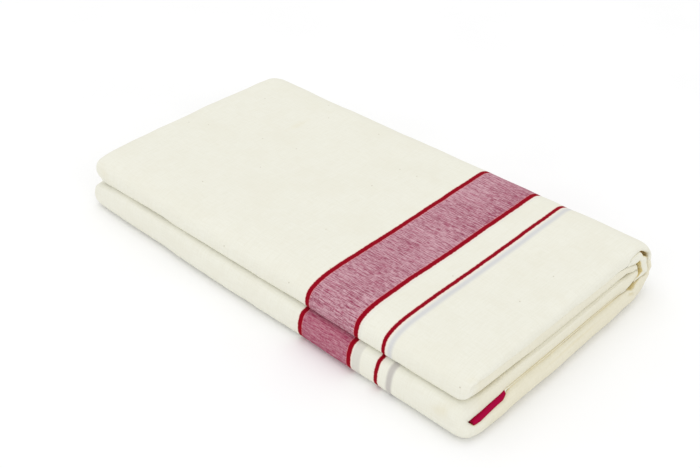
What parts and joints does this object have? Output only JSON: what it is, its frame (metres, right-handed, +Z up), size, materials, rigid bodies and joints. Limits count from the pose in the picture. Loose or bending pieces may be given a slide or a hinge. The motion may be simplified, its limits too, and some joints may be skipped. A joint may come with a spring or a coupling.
{
  "type": "folded dhoti cloth",
  "caption": "Cream cotton dhoti cloth with a crimson-edged border band, folded into a long flat pad whose layers show as rounded noses at the short ends.",
  "frame": {"origin": "middle of the flat underside that the pad rests on", "axes": "+X along the pad's long side towards the end where the layered noses show, -Y towards the long side where the gap between the two stacks opens, +Z up"},
  "size_m": [0.434, 0.2421, 0.0505],
  "materials": {
    "outer_cloth": "cream unbleached handwoven cotton with a crimson-edged maroon and white border band",
    "hidden_layers": "cream unbleached handwoven cotton in the shade of the folds",
    "right_striped_fold": "cream cotton with one crimson stripe that shows in the slit near the front corner",
    "right_second_fold": "cream unbleached handwoven cotton",
    "left_inner_fold": "cream unbleached handwoven cotton"
  },
  "bodies": {
    "root": {"outer_cloth": "outer_cloth", "hidden_layers": "hidden_layers", "right_striped_fold": "right_striped_fold", "right_second_fold": "right_second_fold", "left_inner_fold": "left_inner_fold"}
  },
  "joints": []
}
